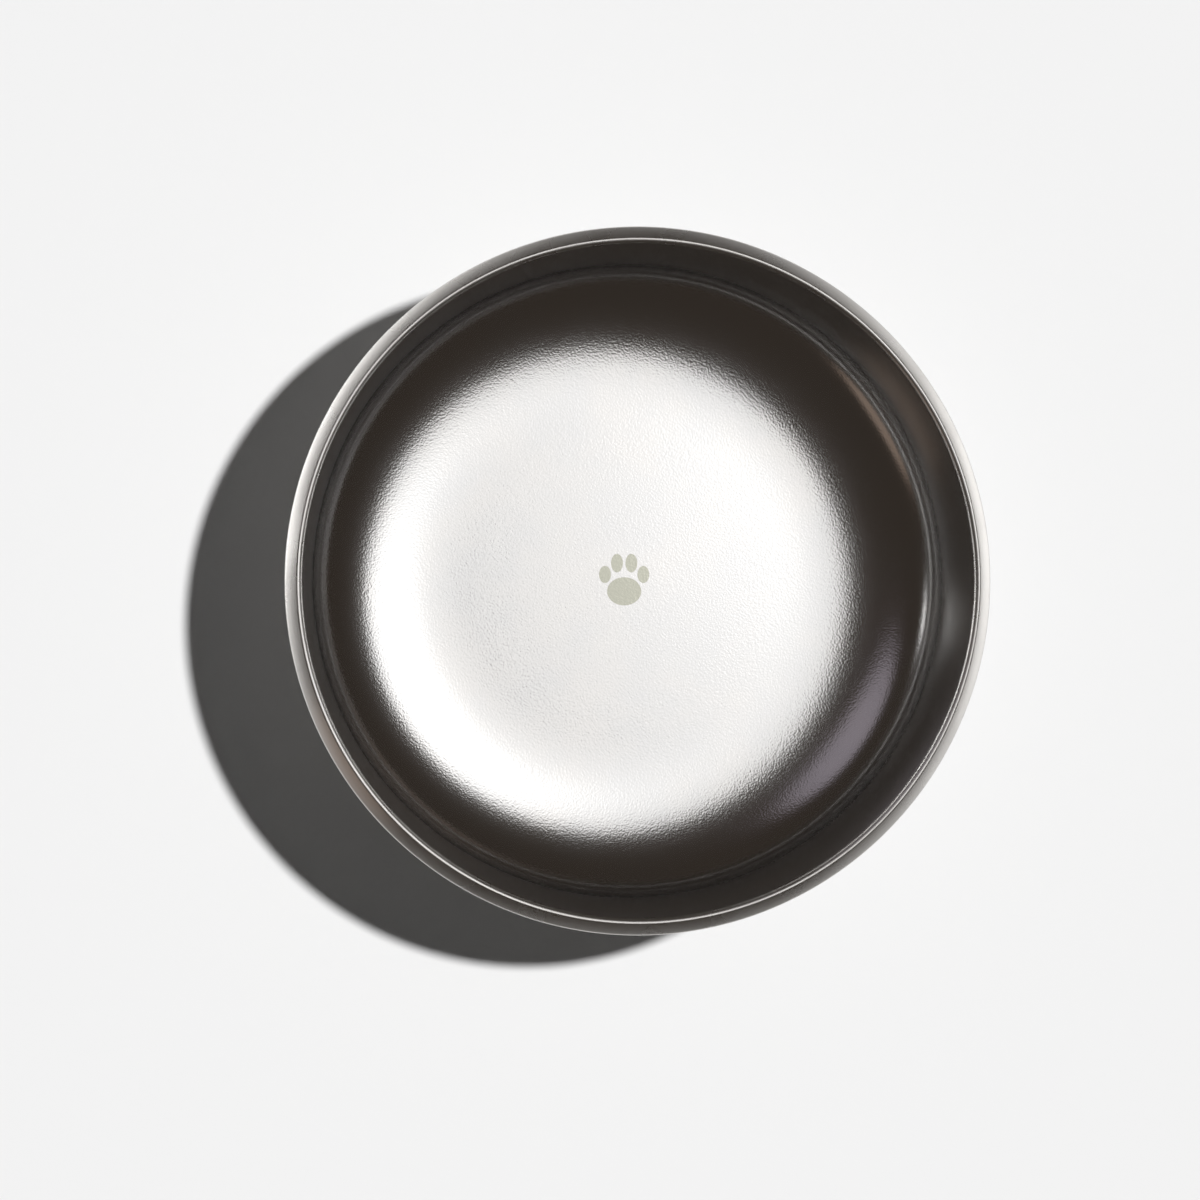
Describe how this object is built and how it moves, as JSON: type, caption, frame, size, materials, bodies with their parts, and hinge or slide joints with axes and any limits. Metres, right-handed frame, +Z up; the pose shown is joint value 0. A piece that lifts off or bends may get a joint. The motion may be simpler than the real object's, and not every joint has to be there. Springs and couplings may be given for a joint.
{
  "type": "dog bowl",
  "caption": "Round double-walled steel feeding bowl with a rolled rim, a crowned floor and a silicone ring underneath that keeps it from sliding.",
  "frame": {"origin": "centre of the face that the bowl rests on, on its axis of turning", "axes": "+Z up along the axis of turning, out of the bowl's mouth; +X and +Y are free, as the bowl is round"},
  "size_m": [0.2, 0.2, 0.058],
  "materials": {
    "satin_steel": "satin blasted inside, polished rim",
    "brushed_steel": "brushed round the wall",
    "base_steel": "dull mill finish",
    "bonding_film": "dull film",
    "silicone": "matt moulded"
  },
  "bodies": {
    "root": {"inner_bowl": "satin_steel", "outer_shell": "brushed_steel", "base_plate": "base_steel", "ring_adhesive": "bonding_film", "non_slip_ring": "silicone"}
  },
  "joints": []
}
